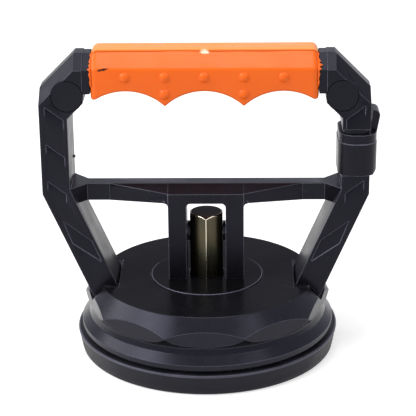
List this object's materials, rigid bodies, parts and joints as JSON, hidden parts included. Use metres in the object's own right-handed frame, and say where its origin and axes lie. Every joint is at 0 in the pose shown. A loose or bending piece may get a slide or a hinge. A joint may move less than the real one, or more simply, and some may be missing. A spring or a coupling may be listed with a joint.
{
  "type": "vacuum suction cup",
  "caption": "Lever-operated vacuum suction cup: round rubber pad in a scalloped housing, with a D-shaped frame whose fork works a hex stem and carries an orange finger grip.",
  "frame": {"origin": "centre of the pad's sealing ring, on the plane of the surface that it is pressed to", "axes": "+Z away from the surface, through the stem towards the grip; X along the grip and the pivot pin, with the clip on the +X arm; -Y is the front; the lever folds to the back, towards +Y"},
  "size_m": [0.1522, 0.1216, 0.1426],
  "materials": {
    "pad_rubber": "matte black rubber",
    "housing_black": "satin moulded black plastic",
    "disc_black": "glossy black low-friction plastic",
    "bright_steel": "plain bright steel",
    "zinc_steel": "zinc-plated steel",
    "stem_zinc": "yellow zinc-plated steel",
    "shim_nylon": "black nylon",
    "frame_black": "fine-grained black reinforced plastic",
    "grip_orange": "soft orange elastomer, satin",
    "clip_black": "semi-gloss black plastic"
  },
  "bodies": {
    "base": {"suction_pad": "pad_rubber", "housing": "housing_black", "wear_disc": "disc_black", "disc_ring": "bright_steel", "return_spring": "bright_steel"},
    "stem": {"pad_plate": "zinc_steel", "pad_stud": "zinc_steel", "stem_washer": "zinc_steel", "hex_stem": "stem_zinc", "pivot_pin": "bright_steel", "shim_left": "shim_nylon", "shim_right": "shim_nylon"},
    "lever": {"frame_front": "frame_black", "rear_cover_left": "frame_black", "rear_cover_right": "frame_black", "grip_core": "frame_black", "grip_sleeve": "grip_orange", "corner_screws": "bright_steel", "corner_plug_left": "frame_black", "corner_plug_right": "frame_black", "cover_screws": "bright_steel", "clip_collar": "clip_black", "clip_pin": "bright_steel"},
    "clip": {"clip_tongue": "clip_black"}
  },
  "joints": [
    {"name": "stem_slide", "type": "slide", "parent": "base", "child": "stem", "axis": [0, 0, 1], "range_m": [-0.0025, 0], "deforming": ["suction_pad", "return_spring"]},
    {"name": "lever_hinge", "type": "hinge", "parent": "stem", "child": "lever", "pos_m": [0, 0, 0.0549], "axis": [-1, 0, 0], "range_deg": [0, 90]},
    {"name": "clip_hinge", "type": "hinge", "parent": "lever", "child": "clip", "pos_m": [0.0758, 0, 0.0881], "axis": [0, 1, 0], "range_deg": [0, 12]}
  ],
  "couplings": [
    {"joint": "stem_slide", "follows": "lever_hinge", "m_per_rad": -0.00159}
  ]
}
